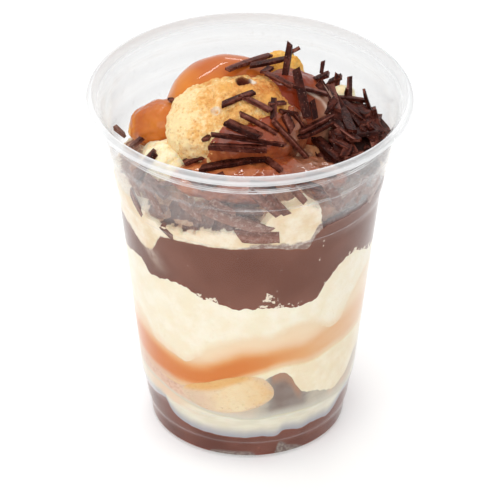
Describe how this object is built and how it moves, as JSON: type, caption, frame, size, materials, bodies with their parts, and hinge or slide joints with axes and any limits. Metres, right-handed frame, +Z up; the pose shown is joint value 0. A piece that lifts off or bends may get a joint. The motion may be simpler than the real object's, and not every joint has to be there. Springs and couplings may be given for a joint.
{
  "type": "ice cream sundae",
  "caption": "Layered cream sundae in a tapered clear plastic cup: choux buns, cream, caramel and chocolate sauce, heaped above the fill line and strewn with chocolate shavings.",
  "frame": {"origin": "centre of the cup's round base, on the surface it stands on", "axes": "+Z up along the cup's axis, -Y towards the side that faces the viewer in the picture, +X to the viewer's right"},
  "size_m": [0.095, 0.095, 0.123],
  "materials": {
    "cup_plastic": "clear, thin, glossy moulded plastic with faint haze",
    "chocolate_sauce": "smooth wet chocolate sauce",
    "milk": "wet, milky melted cream",
    "soaked_cream": "brown-stained wet cream with pale and grey patches",
    "cream": "soft cream, finely crumbly with small air holes",
    "caramel": "translucent glossy caramel sauce",
    "choux": "dry porous golden choux crust",
    "caramel_coat": "choux bun under a smooth glossy caramel coat",
    "chocolate_glaze": "choux bun under brown chocolate glaze",
    "shavings": "dark chocolate shavings, satin"
  },
  "bodies": {
    "root": {"cup": "cup_plastic", "sauce_base": "chocolate_sauce", "sauce_band": "chocolate_sauce", "milk_pool": "milk", "soaked_cream": "soaked_cream", "cream_lower": "cream", "cream_middle": "cream", "cream_dollop": "cream", "cream_top": "cream", "caramel_band": "caramel", "caramel_pool": "caramel", "bun_low": "choux", "bun_main": "choux", "bun_back": "choux", "bun_caramel": "caramel_coat", "bun_left": "caramel_coat", "bun_glazed": "chocolate_glaze", "shavings_heap": "shavings"}
  },
  "joints": []
}
